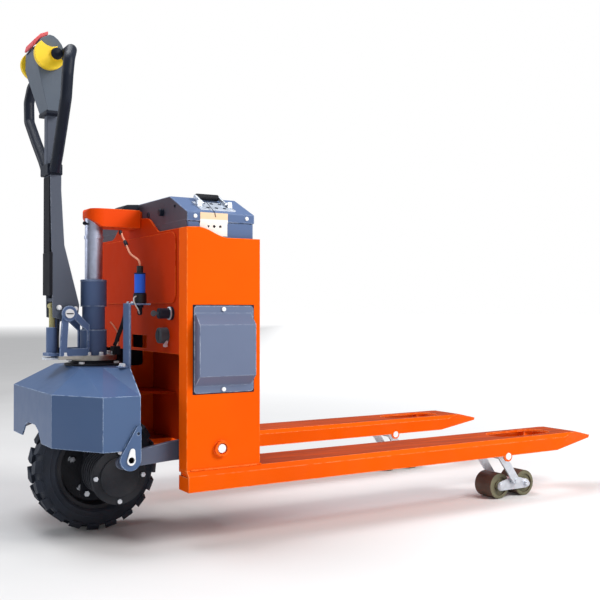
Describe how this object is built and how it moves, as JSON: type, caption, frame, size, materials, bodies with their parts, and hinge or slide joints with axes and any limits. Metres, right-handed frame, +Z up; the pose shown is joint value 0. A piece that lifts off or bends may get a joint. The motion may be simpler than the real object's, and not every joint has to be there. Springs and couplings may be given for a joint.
{
  "type": "electric pallet truck",
  "caption": "Walk-behind rough-terrain pallet truck: orange fork chassis with battery pack, slate hood over a lugged steered drive wheel, tiller handle and load rollers.",
  "frame": {"origin": "on the floor, at the centre of the whole object's box", "axes": "+X towards the fork tips, +Y to the left of someone facing them, +Z up; steering axis at x = -0.674"},
  "size_m": [1.682, 0.723, 1.231],
  "materials": {
    "orange_paint": "semi-gloss orange enamel over pressed steel",
    "slate_paint": "satin blue-grey powder coat",
    "charcoal_paint": "satin charcoal powder coat",
    "black_plastic": "moulded black nylon",
    "yellow_plastic": "moulded yellow thumb wings",
    "red_plastic": "moulded red button",
    "blue_plastic": "blue sensor housing",
    "grip_rubber": "soft black grip",
    "tyre_rubber": "lugged solid tyre",
    "roller_tread": "polyurethane load rollers",
    "cable_jacket": "orange cable jacket",
    "zinc": "zinc-plated steel",
    "ram_chrome": "hard chrome",
    "cast_dark": "black painted casting",
    "aluminium_case": "anodised heat-sink case",
    "cell_block": "blue-grey battery box with sealed cells"
  },
  "bodies": {
    "chassis": {"right_fork": "orange_paint", "left_fork": "orange_paint", "right_side_wall": "orange_paint", "left_side_wall": "orange_paint", "right_side_cover": "slate_paint", "left_side_cover": "slate_paint", "front_wall": "orange_paint", "front_door": "orange_paint", "rear_wall": "orange_paint", "battery_tray": "orange_paint", "head_arm": "orange_paint", "lift_ram": "ram_chrome", "cover_screws": "zinc", "motor_controller": "aluminium_case", "charge_socket": "black_plastic", "key_switch": "black_plastic", "linkage_pins": "zinc"},
    "drive_base": {"drive_hood": "slate_paint", "turntable_ring": "zinc", "hood_fasteners": "zinc", "sensor_bracket": "slate_paint", "lift_sensor": "blue_plastic", "sensor_wire": "cable_jacket"},
    "steering_unit": {"steering_plate": "charcoal_paint", "wheel_carrier": "charcoal_paint", "drive_motor": "cast_dark", "steer_bolts": "zinc", "wheel_axle": "zinc", "pump_block": "slate_paint", "lift_cylinder": "slate_paint", "tiller_brackets": "slate_paint", "tiller_pin": "zinc"},
    "drive_wheel": {"drive_tyre": "tyre_rubber", "drive_rim": "cast_dark"},
    "tiller": {"tiller_arm": "charcoal_paint", "handle_loops": "black_plastic", "control_head": "black_plastic"},
    "pump_piston": {"pump_piston": "zinc"},
    "release_pedal": {"release_pedal": "slate_paint"},
    "throttle": {"throttle_butterfly": "yellow_plastic"},
    "reverse_button": {"reverse_button": "red_plastic"},
    "battery_pack": {"battery_case": "cell_block", "battery_lid": "slate_paint", "handle_plates": "zinc", "battery_lock_knob": "black_plastic"},
    "ignition_key": {"ignition_key": "zinc"},
    "right_battery_handle": {"right_battery_handle": "grip_rubber"},
    "right_link_arm": {"right_link_arm": "slate_paint"},
    "right_push_rod": {"right_push_rod": "zinc"},
    "right_load_arm": {"right_load_arm": "zinc"},
    "right_bogie": {"right_bogie": "zinc"},
    "right_rear_roller": {"right_rear_roller": "roller_tread"},
    "right_front_roller": {"right_front_roller": "roller_tread"},
    "left_battery_handle": {"left_battery_handle": "grip_rubber"},
    "left_link_arm": {"left_link_arm": "slate_paint"},
    "left_push_rod": {"left_push_rod": "zinc"},
    "left_load_arm": {"left_load_arm": "zinc"},
    "left_bogie": {"left_bogie": "zinc"},
    "left_rear_roller": {"left_rear_roller": "roller_tread"},
    "left_front_roller": {"left_front_roller": "roller_tread"}
  },
  "joints": [
    {"name": "lift", "type": "slide", "parent": "chassis", "child": "drive_base", "axis": [0, 0, 1], "range_m": [0, 0.09]},
    {"name": "steer", "type": "hinge", "parent": "drive_base", "child": "steering_unit", "pos_m": [-0.674, 0, 0], "axis": [0, 0, 1], "range_deg": [-80, 80]},
    {"name": "drive", "type": "hinge", "parent": "steering_unit", "child": "drive_wheel", "pos_m": [-0.674, 0, 0.157], "axis": [0, 1, 0], "continuous": true},
    {"name": "tiller_tilt", "type": "hinge", "parent": "steering_unit", "child": "tiller", "pos_m": [-0.749, 0, 0.541], "axis": [0, 1, 0], "range_deg": [-65, 0], "stiffness_Nm_per_rad": 34, "springref_deg": 11.46},
    {"name": "pump_stroke", "type": "slide", "parent": "steering_unit", "child": "pump_piston", "axis": [0, 0, 1], "range_m": [-0.041, 0]},
    {"name": "pedal_press", "type": "hinge", "parent": "steering_unit", "child": "release_pedal", "pos_m": [-0.7435, 0, 0.4305], "axis": [0, 1, 0], "range_deg": [-8, 0], "stiffness_Nm_per_rad": 6, "springref_deg": 2.86},
    {"name": "throttle_turn", "type": "hinge", "parent": "tiller", "child": "throttle", "pos_m": [-0.7905, 0, 1.169], "axis": [0, 1, 0], "range_deg": [-25, 25], "stiffness_Nm_per_rad": 0.6},
    {"name": "reverse_press", "type": "slide", "parent": "tiller", "child": "reverse_button", "axis": [0.6, 0, -0.8], "range_m": [0, 0.003], "stiffness_N_per_m": 1500},
    {"name": "battery_lift_out", "type": "slide", "parent": "chassis", "child": "battery_pack", "axis": [0, 0, 1], "range_m": [0, 0.22]},
    {"name": "key_turn", "type": "hinge", "parent": "chassis", "child": "ignition_key", "pos_m": [-0.601, -0.245, 0.542], "axis": [1, 0, 0], "range_deg": [0, 90]},
    {"name": "right_handle_fold", "type": "hinge", "parent": "battery_pack", "child": "right_battery_handle", "pos_m": [-0.674, -0.281, 0.80459], "axis": [1, 0, 0], "range_deg": [0, 100]},
    {"name": "right_link_swing", "type": "hinge", "parent": "chassis", "child": "right_link_arm", "pos_m": [-0.478, -0.2625, 0.227], "axis": [0, 1, 0], "range_deg": [-1, 27]},
    {"name": "right_rod_pull", "type": "slide", "parent": "chassis", "child": "right_push_rod", "axis": [1, 0, 0], "range_m": [-0.031, 0.001]},
    {"name": "right_load_arm_swing", "type": "hinge", "parent": "chassis", "child": "right_load_arm", "pos_m": [0.432, -0.2625, 0.131], "axis": [0, 1, 0], "range_deg": [-60, 1]},
    {"name": "right_bogie_level", "type": "hinge", "parent": "right_load_arm", "child": "right_bogie", "pos_m": [0.4925, -0.2625, 0.05], "axis": [0, 1, 0], "range_deg": [-1, 60]},
    {"name": "right_rear_roller_spin", "type": "hinge", "parent": "right_bogie", "child": "right_rear_roller", "pos_m": [0.443, -0.2625, 0.037], "axis": [0, 1, 0], "continuous": true},
    {"name": "right_front_roller_spin", "type": "hinge", "parent": "right_bogie", "child": "right_front_roller", "pos_m": [0.542, -0.2625, 0.037], "axis": [0, 1, 0], "continuous": true},
    {"name": "left_handle_fold", "type": "hinge", "parent": "battery_pack", "child": "left_battery_handle", "pos_m": [-0.674, 0.281, 0.80459], "axis": [-1, 0, 0], "range_deg": [0, 100]},
    {"name": "left_link_swing", "type": "hinge", "parent": "chassis", "child": "left_link_arm", "pos_m": [-0.478, 0.2625, 0.227], "axis": [0, 1, 0], "range_deg": [-1, 27]},
    {"name": "left_rod_pull", "type": "slide", "parent": "chassis", "child": "left_push_rod", "axis": [1, 0, 0], "range_m": [-0.031, 0.001]},
    {"name": "left_load_arm_swing", "type": "hinge", "parent": "chassis", "child": "left_load_arm", "pos_m": [0.432, 0.2625, 0.131], "axis": [0, 1, 0], "range_deg": [-60, 1]},
    {"name": "left_bogie_level", "type": "hinge", "parent": "left_load_arm", "child": "left_bogie", "pos_m": [0.4925, 0.2625, 0.05], "axis": [0, 1, 0], "range_deg": [-1, 60]},
    {"name": "left_rear_roller_spin", "type": "hinge", "parent": "left_bogie", "child": "left_rear_roller", "pos_m": [0.443, 0.2625, 0.037], "axis": [0, 1, 0], "continuous": true},
    {"name": "left_front_roller_spin", "type": "hinge", "parent": "left_bogie", "child": "left_front_roller", "pos_m": [0.542, 0.2625, 0.037], "axis": [0, 1, 0], "continuous": true}
  ],
  "couplings": [
    {"joint": "pump_stroke", "follows": "tiller_tilt", "m_per_rad": 0.035259},
    {"joint": "right_link_swing", "follows": "lift", "rad_per_m": 4.8024},
    {"joint": "right_rod_pull", "follows": "lift", "ratio": -0.32499},
    {"joint": "right_load_arm_swing", "follows": "lift", "rad_per_m": -11.316},
    {"joint": "right_bogie_level", "follows": "lift", "rad_per_m": 11.316},
    {"joint": "left_link_swing", "follows": "lift", "rad_per_m": 4.8024},
    {"joint": "left_rod_pull", "follows": "lift", "ratio": -0.32499},
    {"joint": "left_load_arm_swing", "follows": "lift", "rad_per_m": -11.316},
    {"joint": "left_bogie_level", "follows": "lift", "rad_per_m": 11.316}
  ]
}
